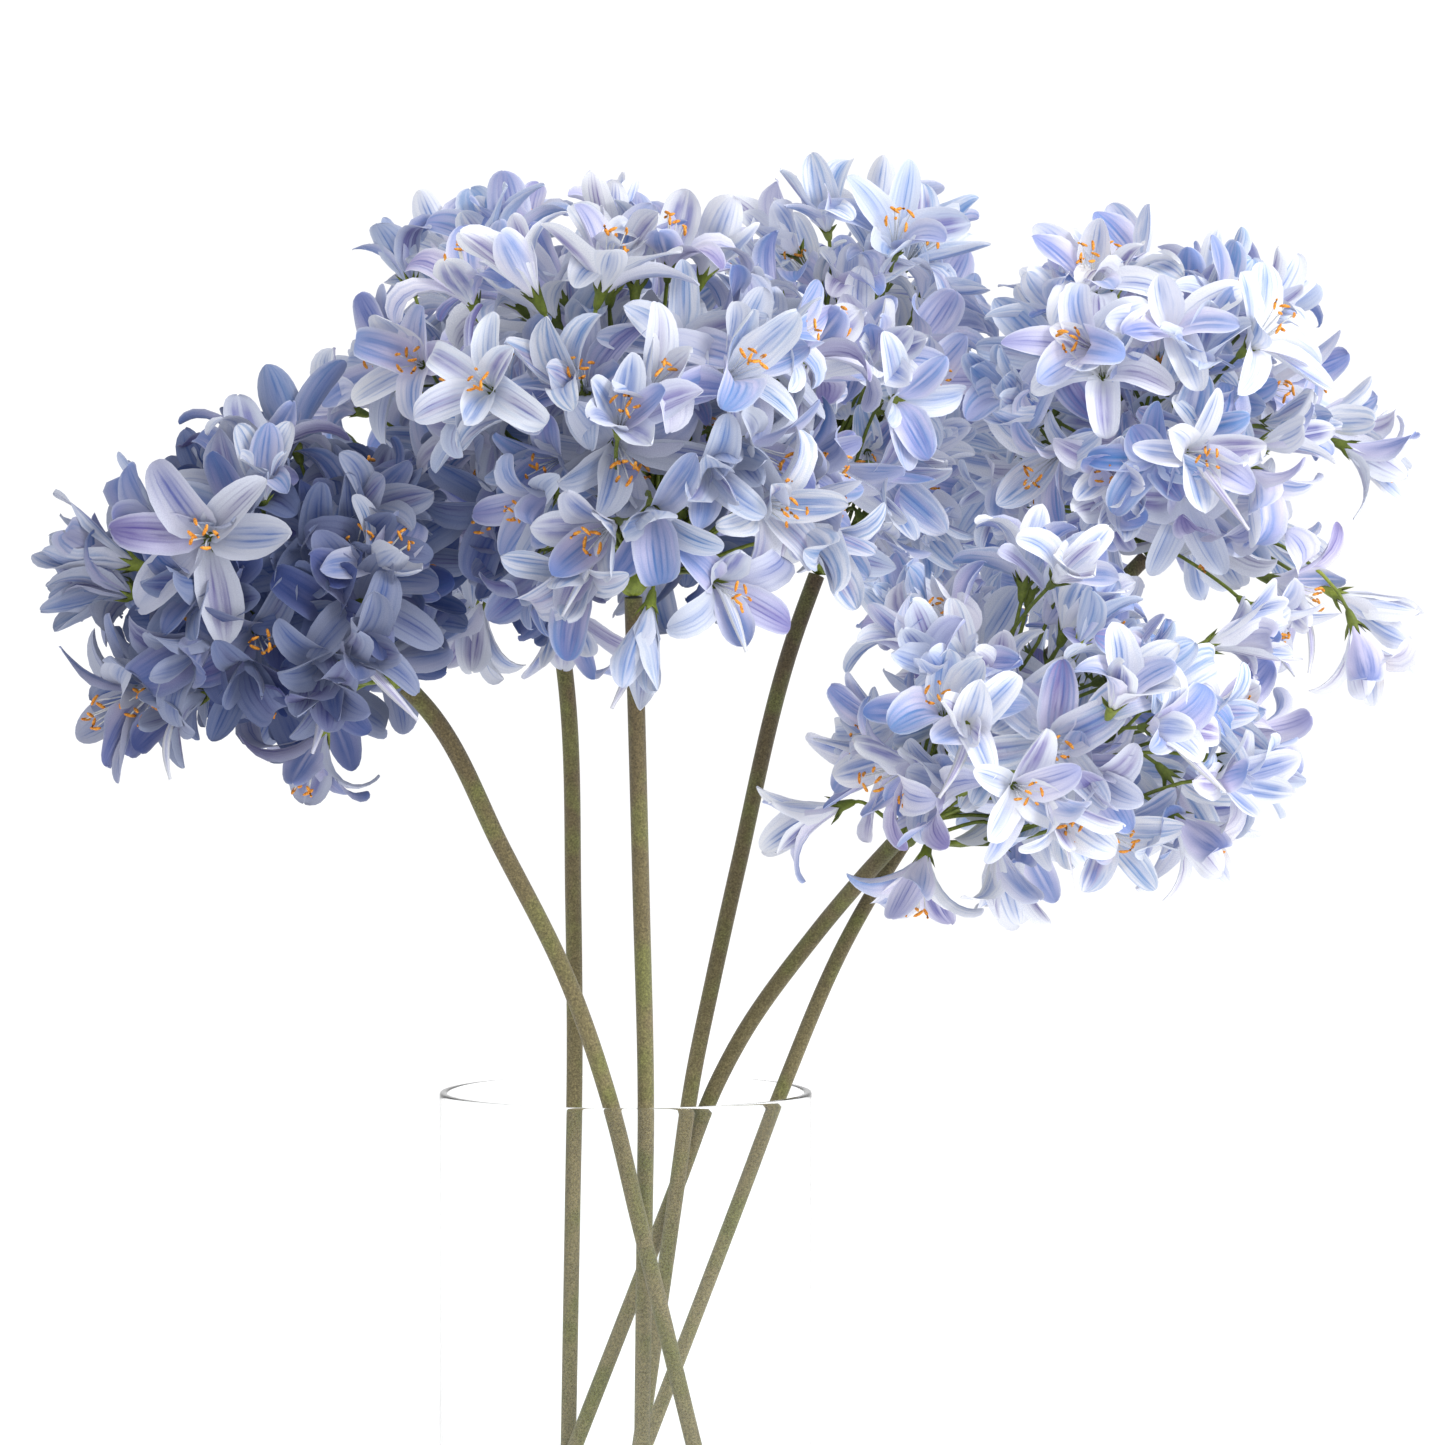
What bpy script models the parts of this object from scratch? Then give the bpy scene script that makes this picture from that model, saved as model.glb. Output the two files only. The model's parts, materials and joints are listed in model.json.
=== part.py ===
"""Agapanthus in a vase: six fabric agapanthus stems standing in a clear glass cylinder.

Metres, +Z up. The origin is the centre of the vase's underside, and the front is at -Y.
Each stem is a coated wire that leans on the glass. Its top carries a hub, sprays are plugged
into the hub, and a spray is one moulding of a few pedicels, each ending in a six-tepal floret.
"""

import math

import bmesh
import bpy
from mathutils import Matrix, Vector

# Glass cylinder
VASE_DIAMETER = 0.200
VASE_HEIGHT = 0.300
VASE_WALL = 0.004
VASE_FLOOR = 0.012
VASE_EDGE = 0.0012  # rounding of the rim and of the corner at the foot
VASE_SIDES = 64

# Stems
STEM_FOOT_DIAMETER = 0.0082
STEM_NECK_DIAMETER = 0.0094
STEM_STEP = 0.020  # distance between the rings of a stem's tube
LEAN_GAP = 0.0015  # between a leaning stem and the glass
FIT_GAP = 0.0003  # between pieces that touch

# Flower heads
HUB_DIAMETER = 0.018
SPRAYS_PER_HEAD = 7
FLORETS_PER_HEAD = 24
SPRAY_SPREAD = math.radians(98)  # widest angle of a spray from the head's axis
FLORET_SPREAD = math.radians(116)  # widest angle of a floret from the head's axis
KNUCKLE_RADIUS = 0.0050  # where a spray's pedicels part
PEDICEL_DIAMETER = 0.0024
CALYX_DIAMETER = 0.0090
CALYX_LENGTH = 0.010
FLORET_LENGTH = 0.056  # calyx and tepals
FLORET_RIM_RADIUS = 0.036
TEPALS = 6
TEPAL_NOTCH = 0.42  # how far the gaps between tepals cut back, as a share of the tepals
FLORET_ROOM = math.radians(13)  # half-angle of the cone that each floret keeps to itself
LEAST_PEDICEL = 0.005  # straight length of the shortest pedicel, beyond the knuckle
LEAST_FOLD = 0.60  # a floret short of room is folded down to this share of its length, or left out
HEAD_GAP = 0.002  # kept free on each side of the plane between two heads
STEM_CLEARANCE = 0.003  # between a floret and a stem

GOLDEN_ANGLE = math.pi * (3 - math.sqrt(5))

# Each stem: its foot on the vase's floor, as shares of the radius that is free there; the
# direction and the share of that radius where it passes the rim (1 leans on the glass); the
# points of its route above the rim, measured from there, the last one at the hub; its own
# thickness; the way its head faces; and the head's reach ahead and at its edge.
STEMS = {
    "left": {
        "foot": (0.69, -0.49),
        "rim": (-93.4, 1.0),
        "route": ((-0.0222, -0.009, 0.066), (-0.0551, -0.020, 0.1335), (-0.0916, -0.031, 0.2037),
                  (-0.1097, -0.034, 0.2234)),
        "thickness": 1.0,
        "faces": (-0.80, -0.10, 0.58),
        "reach": (0.205, 0.057),
    },
    "back_left": {
        "foot": (-0.385, 0.55),
        "rim": (110.0, 1.0),
        "route": ((-0.0012, 0.014, 0.0955), (-0.0055, 0.029, 0.217), (-0.0165, 0.036, 0.292)),
        "thickness": 1.03,
        "faces": (-0.33, -0.05, 0.94),
        "reach": (0.205, 0.130),
    },
    "centre": {
        "foot": (0.09, -0.33),
        "rim": (-80.8, 0.85),
        "route": ((-0.0020, -0.0185, 0.107), (-0.0050, -0.0405, 0.240), (-0.0057, -0.0465, 0.2706)),
        "thickness": 0.98,
        "faces": (-0.12, -0.10, 0.99),
        "reach": (0.232, 0.095),
    },
    "back_right": {
        "foot": (-0.07, 0.11),
        "rim": (62.0, 0.84),
        "route": ((0.0114, 0.012, 0.055), (0.025, 0.023, 0.1157), (0.0565, 0.045, 0.2443),
                  (0.073, 0.050, 0.290)),
        "thickness": 1.0,
        "faces": (0.10, 0.0, 0.99),
        "reach": (0.240, 0.100),
    },
    "low_right": {
        "foot": (-0.71, 0.33),
        "rim": (56.0, 1.0),
        "route": ((0.0114, 0.002, 0.0213), (0.0529, -0.011, 0.0804), (0.0776, -0.033, 0.1117),
                  (0.1007, -0.057, 0.1387)),
        "thickness": 1.0,
        "faces": (0.80, -0.22, 0.56),
        "reach": (0.235, 0.057),
    },
    "right": {
        "foot": (-0.30, -0.22),
        "rim": (19.0, 1.0),
        "route": ((0.0348, 0.021, 0.078), (0.0631, 0.038, 0.1247), (0.129, 0.054, 0.2126),
                  (0.210, 0.062, 0.297)),
        "thickness": 0.92,
        "faces": (0.16, -0.10, 0.97),
        "reach": (0.195, 0.120),
    },
}


def material(name, colour, roughness, transmission=0.0):
    made = bpy.data.materials.new(name)
    made.use_nodes = True
    shader = made.node_tree.nodes["Principled BSDF"]
    shader.inputs["Base Color"].default_value = (*colour, 1.0)
    shader.inputs["Roughness"].default_value = roughness
    shader.inputs["Metallic"].default_value = 0.0
    shader.inputs["Transmission Weight"].default_value = transmission
    return made


def add_object(name, data, finish):
    made = bpy.data.objects.new(name, data)
    data.materials.append(finish)
    bpy.context.scene.collection.objects.link(made)
    return made


def mesh_object(name, shape, finish):
    mesh = bpy.data.meshes.new(name)
    shape.to_mesh(mesh)
    shape.free()
    return add_object(name, mesh, finish)


def spun(profile, sides):
    """A closed surface turned about Z from (radius, height) points that start and end on the axis."""
    shape = bmesh.new()
    rings = []
    for radius, height in profile:
        if radius == 0:
            rings.append([shape.verts.new((0, 0, height))] * sides)
            continue
        turns = [2 * math.pi * i / sides for i in range(sides)]
        rings.append([shape.verts.new((radius * math.cos(a), radius * math.sin(a), height)) for a in turns])
    for low, high in zip(rings, rings[1:]):
        for i in range(sides):
            j = (i + 1) % sides
            corners = dict.fromkeys((low[i], low[j], high[j], high[i]))
            shape.faces.new(list(corners))
    return shape


def vase():
    radius = VASE_DIAMETER / 2
    inner = radius - VASE_WALL
    profile = (
        (0, 0),
        (radius - VASE_EDGE, 0),
        (radius, VASE_EDGE),
        (radius, VASE_HEIGHT - VASE_EDGE),
        (radius - VASE_EDGE, VASE_HEIGHT),
        (inner + VASE_EDGE, VASE_HEIGHT),
        (inner, VASE_HEIGHT - VASE_EDGE),
        (inner, VASE_FLOOR + VASE_EDGE),
        (inner - VASE_EDGE, VASE_FLOOR),
        (0, VASE_FLOOR),
    )
    made = mesh_object("vase", spun(profile, VASE_SIDES), material("clear glass", (0.9, 0.95, 0.95), 0.02, 1.0))
    made.data.shade_smooth()
    made.data.set_sharp_from_angle(angle=math.radians(30))


def smooth_route(points, step):
    """Points about one step apart on a cubic curve through the given points."""
    chords = [(b - a).length for a, b in zip(points, points[1:])]
    slopes = [(b - a) / chord for a, b, chord in zip(points, points[1:], chords)]
    tangents = [slopes[0]]
    for before, after, left, right in zip(slopes, slopes[1:], chords, chords[1:]):
        tangents.append((before * right + after * left) / (left + right))
    tangents.append(slopes[-1])
    route = [points[0]]
    for i, chord in enumerate(chords):
        pieces = max(1, round(chord / step))
        for k in range(1, pieces + 1):
            t = k / pieces
            route.append(
                points[i] * (2 * t**3 - 3 * t**2 + 1)
                + tangents[i] * chord * (t**3 - 2 * t**2 + t)
                + points[i + 1] * (3 * t**2 - 2 * t**3)
                + tangents[i + 1] * chord * (t**3 - t**2)
            )
    return route


def stem_route(plan):
    """The stem's points from its cut foot on the vase's floor to the centre of its hub."""
    radius = plan["thickness"] * STEM_NECK_DIAMETER / 2
    free = VASE_DIAMETER / 2 - VASE_WALL - radius - LEAN_GAP
    heading = math.radians(plan["rim"][0])
    rim = Vector((math.cos(heading), math.sin(heading), 0)) * free * plan["rim"][1]
    rim.z = VASE_HEIGHT
    foot = Vector((*plan["foot"], 0)) * free
    foot.z = VASE_FLOOR + FIT_GAP
    tilt = (rim - foot).angle(Vector((0, 0, 1)))
    foot.z += radius * math.sin(tilt)  # the low edge of the square-cut end just meets the floor
    inside = [foot.lerp(rim, share) for share in (0.0, 0.4, 0.8)]
    return smooth_route([*inside, rim, *(rim + Vector(step) for step in plan["route"])], STEM_STEP)


def stem(name, plan, route, finish):
    """A tapered tube that stops where the hub begins."""
    along = (route[-1] - route[-2]).normalized()
    top = route[-1] - along * (HUB_DIAMETER / 2 + FIT_GAP)
    points = [p for p in route[:-1] if (top - p).dot(along) > STEM_STEP / 4] + [top]
    curve = bpy.data.curves.new(f"stem_{name}", "CURVE")
    curve.dimensions = "3D"
    curve.bevel_depth = 1.0
    curve.bevel_resolution = 2
    curve.use_fill_caps = True
    spline = curve.splines.new("POLY")
    spline.points.add(len(points) - 1)
    for i, (point, place) in enumerate(zip(spline.points, points)):
        share = i / (len(points) - 1)
        diameter = STEM_FOOT_DIAMETER + (STEM_NECK_DIAMETER - STEM_FOOT_DIAMETER) * share
        point.co = (*place, 1)
        point.radius = plan["thickness"] * diameter / 2
    add_object(f"stem_{name}", curve, finish)


def hub(name, place, finish):
    shape = bmesh.new()
    bmesh.ops.create_icosphere(shape, subdivisions=2, radius=HUB_DIAMETER / 2, matrix=Matrix.Translation(place))
    made = mesh_object(f"hub_{name}", shape, finish)
    made.data.shade_smooth()


def spread_directions(count, widest, axis):
    """Directions spaced evenly by the golden angle over a cap about the axis."""
    turn = axis.to_track_quat("Z", "Y")
    for i in range(count):
        rise = 1 - (i + 0.5) / count * (1 - math.cos(widest))
        level = math.sqrt(1 - rise * rise)
        yield turn @ Vector((level * math.cos(i * GOLDEN_ANGLE), level * math.sin(i * GOLDEN_ANGLE), rise))


def room_for(direction, head, heads, routes):
    """How far a floret may reach before it meets the next head's space or any stem."""
    room = math.inf
    for other in heads.values():
        if other is head:
            continue
        across = (other["heart"] - head["heart"]).normalized()
        middle = (other["heart"] + head["heart"]) / 2 - across * HEAD_GAP
        nearest = math.cos(max(0.0, direction.angle(across) - FLORET_ROOM))
        if nearest > 0:
            room = min(room, (middle - head["hub"]).dot(across) / nearest)
    for route in routes.values():
        for place in route:
            offset = place - head["hub"]
            keep = STEM_NECK_DIAMETER / 2 + STEM_CLEARANCE
            if offset.length < HUB_DIAMETER / 2 + STEM_STEP:
                continue
            width = math.asin(min(1.0, (keep + STEM_STEP / 2) / offset.length))
            if direction.angle(offset) < FLORET_ROOM + width:
                room = min(room, offset.length - keep)
    return room


def ring(shape, centre, axis, side, radius, count, turn=0.0):
    """Points round the axis. The side vector fixes where the first one lies."""
    side = (side - axis * side.dot(axis)).normalized()
    up = axis.cross(side)
    angles = [2 * math.pi * (i + turn) / count for i in range(count)]
    return [shape.verts.new(centre + (side * math.cos(a) + up * math.sin(a)) * radius) for a in angles]


def bridge(shape, lower, upper):
    for i in range(len(lower)):
        j = (i + 1) % len(lower)
        shape.faces.new((lower[i], lower[j], upper[j], upper[i]))


def floret(shape, collar, knuckle, axis, side, tip_distance, rim_radius):
    """A pedicel from its collar on the knuckle, a calyx, and a trumpet of six pointed tepals."""
    base_distance = max(tip_distance - FLORET_LENGTH, KNUCKLE_RADIUS + LEAST_PEDICEL)
    neck = ring(shape, knuckle + axis * base_distance, axis, side, PEDICEL_DIAMETER / 2, TEPALS)
    mouth = base_distance + CALYX_LENGTH
    calyx = ring(shape, knuckle + axis * mouth, axis, side, CALYX_DIAMETER / 2, TEPALS)
    notch_distance = tip_distance - TEPAL_NOTCH * (tip_distance - mouth)
    notch_radius = rim_radius * (1 - TEPAL_NOTCH)
    tips = ring(shape, knuckle + axis * tip_distance, axis, side, rim_radius, TEPALS)
    notches = ring(shape, knuckle + axis * notch_distance, axis, side, notch_radius, TEPALS, turn=0.5)
    throat = shape.verts.new(knuckle + axis * (mouth + PEDICEL_DIAMETER))
    bridge(shape, collar, neck)
    bridge(shape, neck, calyx)
    for i in range(TEPALS):
        j = (i + 1) % TEPALS
        shape.faces.new((calyx[i], notches[i], tips[i]))
        shape.faces.new((calyx[i], calyx[j], notches[i]))
        shape.faces.new((calyx[j], tips[j], notches[i]))
        shape.faces.new((throat, tips[i], notches[i]))
        shape.faces.new((throat, notches[i], tips[j]))


def spray(name, hub_place, axis, targets, finish):
    """One closed moulding: a knuckle on the hub, with a floret reaching out to each target."""
    shape = bmesh.new()
    seat = hub_place + axis * (HUB_DIAMETER / 2 + FIT_GAP)
    knuckle = seat + axis * KNUCKLE_RADIUS
    side = axis.orthogonal()
    ring(shape, seat, axis, side, PEDICEL_DIAMETER, TEPALS)
    ways = []
    for target, rim_radius in targets:
        way = (target - knuckle).normalized()
        collar = ring(shape, knuckle + way * KNUCKLE_RADIUS, way, side, PEDICEL_DIAMETER / 2, TEPALS)
        ways.append((collar, way, (target - knuckle).length, rim_radius))
    bmesh.ops.convex_hull(shape, input=shape.verts[:])
    owner = {corner: i for i, (collar, *_) in enumerate(ways) for corner in collar}
    lids = [f for f in shape.faces if len({owner.get(v, -1) for v in f.verts}) == 1 and f.verts[0] in owner]
    bmesh.ops.delete(shape, geom=lids, context="FACES")
    for collar, way, distance, rim_radius in ways:
        floret(shape, collar, knuckle, way, side, distance, rim_radius)
    bmesh.ops.recalc_face_normals(shape, faces=shape.faces[:])
    mesh_object(name, shape, finish)


def flower_head(name, plan, head, heads, routes, finish):
    """Florets spaced over the head, each given to the spray whose direction is nearest."""
    sprays = list(spread_directions(SPRAYS_PER_HEAD, SPRAY_SPREAD, head["axis"]))
    groups = [[] for _ in sprays]
    ahead, edge = plan["reach"]
    least = HUB_DIAMETER / 2 + FIT_GAP + 2 * KNUCKLE_RADIUS + LEAST_PEDICEL + LEAST_FOLD * FLORET_LENGTH
    for direction in spread_directions(FLORETS_PER_HEAD, FLORET_SPREAD, head["axis"]):
        share = direction.angle(head["axis"]) / FLORET_SPREAD
        full = edge + (ahead - edge) * (1 + math.cos(math.pi * min(1.0, share))) / 2
        reach = min(full, room_for(direction, head, heads, routes))
        if reach < least:
            continue
        rim_radius = min(FLORET_RIM_RADIUS, reach * math.tan(FLORET_ROOM))
        nearest = min(range(len(sprays)), key=lambda i: sprays[i].angle(direction))
        groups[nearest].append((head["hub"] + direction * reach, rim_radius))
    for i, (axis, targets) in enumerate(zip(sprays, groups)):
        if targets:
            spray(f"spray_{name}_{i + 1}", head["hub"], axis, targets, finish)


def build():
    vase()
    routes = {name: stem_route(plan) for name, plan in STEMS.items()}
    heads = {}
    for name, plan in STEMS.items():
        axis = Vector(plan["faces"]).normalized()
        place = routes[name][-1]
        heads[name] = {"hub": place, "axis": axis, "heart": place + axis * plan["reach"][0] * 0.45}
    flocking = material("olive flocked stem", (0.115, 0.095, 0.045), 0.9)
    plastic = material("green plastic", (0.13, 0.18, 0.02), 0.5)
    for name, plan in STEMS.items():
        stem(name, plan, routes[name], flocking)
        hub(name, heads[name]["hub"], plastic)
        petals = material(f"blue fabric {name}", (0.42, 0.52, 0.85), 0.8)
        flower_head(name, plan, heads[name], heads, routes, petals)


for old in list(bpy.data.objects):
    bpy.data.objects.remove(old, do_unlink=True)
build()
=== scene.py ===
"""The finished look of the agapanthus bunch: six fabric stems in a clear glass cylinder."""

import json
import math
import random
from functools import partial

import bmesh
import bpy
from mathutils import Matrix, Vector

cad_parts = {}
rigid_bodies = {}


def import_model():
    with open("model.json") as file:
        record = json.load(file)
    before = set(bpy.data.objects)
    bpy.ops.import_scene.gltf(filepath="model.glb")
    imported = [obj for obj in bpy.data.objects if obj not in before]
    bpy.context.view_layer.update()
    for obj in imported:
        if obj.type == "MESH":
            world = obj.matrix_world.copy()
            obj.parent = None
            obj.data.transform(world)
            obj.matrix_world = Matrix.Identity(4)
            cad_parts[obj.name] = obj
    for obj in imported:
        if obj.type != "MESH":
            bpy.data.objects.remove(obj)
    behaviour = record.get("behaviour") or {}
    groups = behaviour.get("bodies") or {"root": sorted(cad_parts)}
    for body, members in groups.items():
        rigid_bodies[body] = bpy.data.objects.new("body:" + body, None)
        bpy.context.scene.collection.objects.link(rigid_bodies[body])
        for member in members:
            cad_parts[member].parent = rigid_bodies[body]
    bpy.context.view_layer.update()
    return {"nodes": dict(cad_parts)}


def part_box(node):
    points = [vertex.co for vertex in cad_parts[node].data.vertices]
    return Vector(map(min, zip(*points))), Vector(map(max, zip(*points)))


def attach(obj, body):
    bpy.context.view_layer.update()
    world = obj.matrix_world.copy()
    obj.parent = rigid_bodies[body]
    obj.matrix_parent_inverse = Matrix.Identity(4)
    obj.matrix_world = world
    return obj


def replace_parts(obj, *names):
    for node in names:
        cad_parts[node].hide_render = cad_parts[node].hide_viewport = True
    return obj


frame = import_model()


# ---- Glass cylinder ---------------------------------------------------------------------------
# One piece of clear pressed glass, open at the top, with a thick flat base. Its rim and the edge
# of its foot are fire-polished round. Everything else stands in it.

GLASS_WALL = 0.004
GLASS_BASE = 0.012
GLASS_EDGE = 0.0012
GLASS_SIDES = 192
GLASS_COLOUR = (0.985, 0.992, 0.99)
GLASS_IOR = 1.25


def new_material(name, colour, roughness, **sockets):
    """A material with a Principled shader, and the shader. Other sockets are given by name."""
    made = bpy.data.materials.new(name)
    made.use_nodes = True
    shader = made.node_tree.nodes["Principled BSDF"]
    shader.inputs["Base Color"].default_value = (*colour, 1.0)
    shader.inputs["Roughness"].default_value = roughness
    for socket, value in sockets.items():
        shader.inputs[socket.replace("_", " ")].default_value = value
    return made, shader


def add_node(tree, kind, settings=(), **inputs):
    """A node with its settings, and its inputs set to values or linked to other nodes' outputs."""
    node = tree.nodes.new(kind)
    for key, value in dict(settings).items():
        setattr(node, key, value)
    for key, value in inputs.items():
        numbered = key[0] == "i" and key[1:].isdigit()
        slot = node.inputs[int(key[1:]) if numbered else key.replace("_", " ")]
        if isinstance(value, bpy.types.NodeSocket):
            tree.links.new(value, slot)
        else:
            slot.default_value = value
    return node


def add_piece(name, mesh, material):
    """A finished mesh as a piece of the object that rides on its only body."""
    made = bpy.data.objects.new(name, mesh)
    mesh.name = name
    mesh.materials.clear()
    mesh.materials.append(material)
    mesh.shade_smooth()
    bpy.context.scene.collection.objects.link(made)
    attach(made, "root")
    return made


def mesh_of(shape, name):
    """The bmesh as a plain mesh with that name."""
    mesh = bpy.data.meshes.new(name)
    shape.to_mesh(mesh)
    shape.free()
    return mesh


def turned(profile, sides):
    """A closed surface turned about Z from (radius, height) points that start and end on the axis."""
    shape = bmesh.new()
    rings = []
    for radius, height in profile:
        if radius == 0:
            rings.append([shape.verts.new((0, 0, height))] * sides)
            continue
        turns = [2 * math.pi * i / sides for i in range(sides)]
        rings.append([shape.verts.new((radius * math.cos(a), radius * math.sin(a), height)) for a in turns])
    for low, high in zip(rings, rings[1:]):
        for i in range(sides):
            j = (i + 1) % sides
            shape.faces.new(list(dict.fromkeys((low[i], low[j], high[j], high[i]))))
    return mesh_of(shape, "turned")


def rounded(radius, height, edge, start, steps=5):
    """The points of a quarter-round edge, its centre at (radius, height), from the start angle."""
    angles = [math.radians(start + 90 * i / steps) for i in range(steps + 1)]
    return [(radius + edge * math.cos(a), height + edge * math.sin(a)) for a in angles]


vase_low, vase_high = (Vector(corner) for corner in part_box("vase"))
vase_radius = (vase_high.x - vase_low.x) / 2
vase_height = vase_high.z
inner_radius = vase_radius - GLASS_WALL
# Rings close to both rounded edges keep the long walls flat in their shading.
wall_heights = (
    GLASS_EDGE * 3, *(vase_height * share for share in (0.2, 0.5, 0.8)), vase_height - GLASS_EDGE * 3
)
vase_profile = [
    (0, 0),
    (vase_radius * 0.5, 0),
    *rounded(vase_radius - GLASS_EDGE, GLASS_EDGE, GLASS_EDGE, -90),
    *[(vase_radius, height) for height in wall_heights],
    *rounded(vase_radius - GLASS_EDGE, vase_height - GLASS_EDGE, GLASS_EDGE, 0),
    *rounded(inner_radius + GLASS_EDGE, vase_height - GLASS_EDGE, GLASS_EDGE, 90),
    *[(inner_radius, height) for height in reversed(wall_heights[1:])],
    (inner_radius, GLASS_BASE + GLASS_EDGE * 4),
    *[(inner_radius - GLASS_EDGE * 2 * (1 - math.cos(a)), GLASS_BASE + GLASS_EDGE * 2 * (1 - math.sin(a)))
      for a in (0.0, math.pi / 6, math.pi / 3, math.pi / 2)],  # the rounded corner at the floor
    (inner_radius * 0.5, GLASS_BASE),
    (0, GLASS_BASE),
]
glass, glass_shader = new_material(
    "clear glass", GLASS_COLOUR, 0.0, Transmission_Weight=1.0, IOR=GLASS_IOR, Specular_IOR_Level=0.5
)
tree = glass.node_tree
place = add_node(tree, "ShaderNodeTexCoord").outputs["Object"]
ripple = add_node(tree, "ShaderNodeTexNoise", Vector=place, Scale=9.0, Detail=1.0).outputs["Fac"]
swell = add_node(tree, "ShaderNodeBump", Strength=0.05, Distance=0.002, Height=ripple).outputs["Normal"]
tree.links.new(swell, glass_shader.inputs["Normal"])
vase = add_piece("glass_vase", turned(vase_profile, GLASS_SIDES), glass)
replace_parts(vase, "vase")


# ---- Stems ------------------------------------------------------------------------------------
# Each stem is a wire core in a coated plastic sleeve with a grainy flocked face, olive to brown,
# cut square at the foot. It stands on the glass floor, leans on the rim and is bent by hand above.

STEM_FOOT_DIAMETER = 0.0082
STEM_NECK_DIAMETER = 0.0094
STEM_STEP = 0.004
LEAN_GAP = 0.0015
FIT_GAP = 0.0003
STEM_SIDES = 20
STEM_FIBRE = 0.0011  # the flock's own fibre size
PATCHES_PER_METRE = 38.0  # the paler and darker patches of flock
SLEEVE_TOP = 0.6  # the height at which the sleeve is at its brownest

# For each stem: its foot on the glass floor, as shares of the radius that is free there; the
# direction and the share of that radius where it passes the rim; the points of its route above
# the rim, measured from there, the last one at the hub; and its own thickness.
STEMS = {
    "left": {
        "foot": (0.69, -0.49),
        "rim": (-93.4, 1.0),
        "route": ((-0.0222, -0.009, 0.066), (-0.0551, -0.020, 0.1335), (-0.0916, -0.031, 0.2037),
                  (-0.1097, -0.034, 0.2234)),
        "thickness": 1.0,
    },
    "back_left": {
        "foot": (-0.385, 0.55),
        "rim": (110.0, 1.0),
        "route": ((-0.0012, 0.014, 0.0955), (-0.0055, 0.029, 0.217), (-0.0165, 0.036, 0.292)),
        "thickness": 1.03,
    },
    "centre": {
        "foot": (0.09, -0.33),
        "rim": (-80.8, 0.85),
        "route": ((-0.0020, -0.0185, 0.107), (-0.0050, -0.0405, 0.240), (-0.0057, -0.0465, 0.2706)),
        "thickness": 0.98,
    },
    "back_right": {
        "foot": (-0.07, 0.11),
        "rim": (62.0, 0.84),
        "route": ((0.0114, 0.012, 0.055), (0.025, 0.023, 0.1157), (0.0565, 0.045, 0.2443),
                  (0.073, 0.050, 0.290)),
        "thickness": 1.0,
    },
    "low_right": {
        "foot": (-0.71, 0.33),
        "rim": (56.0, 1.0),
        "route": ((0.0114, 0.002, 0.0213), (0.0529, -0.011, 0.0804), (0.0776, -0.033, 0.1117),
                  (0.1007, -0.057, 0.1387)),
        "thickness": 1.0,
    },
    "right": {
        "foot": (-0.30, -0.22),
        "rim": (19.0, 1.0),
        "route": ((0.0348, 0.021, 0.078), (0.0631, 0.038, 0.1247), (0.129, 0.054, 0.2126),
                  (0.210, 0.062, 0.297)),
        "thickness": 0.92,
    },
}


def smooth_route(points, step):
    """Points about one step apart on a cubic curve through the given points."""
    chords = [(b - a).length for a, b in zip(points, points[1:])]
    slopes = [(b - a) / chord for a, b, chord in zip(points, points[1:], chords)]
    tangents = [slopes[0]]
    for before, after, left, right in zip(slopes, slopes[1:], chords, chords[1:]):
        tangents.append((before * right + after * left) / (left + right))
    tangents.append(slopes[-1])
    route = [points[0]]
    for i, chord in enumerate(chords):
        pieces = max(1, round(chord / step))
        for k in range(1, pieces + 1):
            t = k / pieces
            route.append(
                points[i] * (2 * t**3 - 3 * t**2 + 1)
                + tangents[i] * chord * (t**3 - 2 * t**2 + t)
                + points[i + 1] * (3 * t**2 - 2 * t**3)
                + tangents[i + 1] * chord * (t**3 - t**2)
            )
    return route


def stem_route(plan):
    """The stem's points from its cut foot on the glass floor to the centre of its hub."""
    radius = plan["thickness"] * STEM_NECK_DIAMETER / 2
    free = inner_radius - radius - LEAN_GAP
    heading = math.radians(plan["rim"][0])
    rim = Vector((math.cos(heading), math.sin(heading), 0)) * free * plan["rim"][1]
    rim.z = vase_height
    foot = Vector((*plan["foot"], 0)) * free
    foot.z = GLASS_BASE + FIT_GAP
    tilt = (rim - foot).angle(Vector((0, 0, 1)))
    foot.z += radius * math.sin(tilt)
    inside = [foot.lerp(rim, share) for share in (0.0, 0.4, 0.8)]
    return smooth_route([*inside, rim, *(rim + Vector(step) for step in plan["route"])], STEM_STEP)


def new_group(name, kind, takes, gives):
    """A node group with the named inputs and outputs, and the nodes at its two ends."""
    made = bpy.data.node_groups.new(name, kind)
    for in_out, sockets in (("INPUT", takes), ("OUTPUT", gives)):
        for label, holds in sockets.items():
            made.interface.new_socket(label, in_out=in_out, socket_type=f"NodeSocket{holds}")
    return made, made.nodes.new("NodeGroupInput"), made.nodes.new("NodeGroupOutput")


def new_tree(name, sockets):
    """A geometry node tree with a mesh in and out, and the named inputs given."""
    shape = {"Geometry": "Geometry"}
    return new_group(name, "GeometryNodeTree", {**shape, **sockets}, shape)


def end_tree(tree, made, tree_in, tree_out):
    """Make the tree's instances real, give them their finish, and pass them out."""
    whole = add_node(tree, "GeometryNodeRealizeInstances", Geometry=made).outputs["Geometry"]
    finish = tree_in.outputs["Finish"]
    done = add_node(tree, "GeometryNodeSetMaterial", Geometry=whole, Material=finish)
    tree.links.new(done.outputs["Geometry"], tree_out.inputs["Geometry"])


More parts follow.
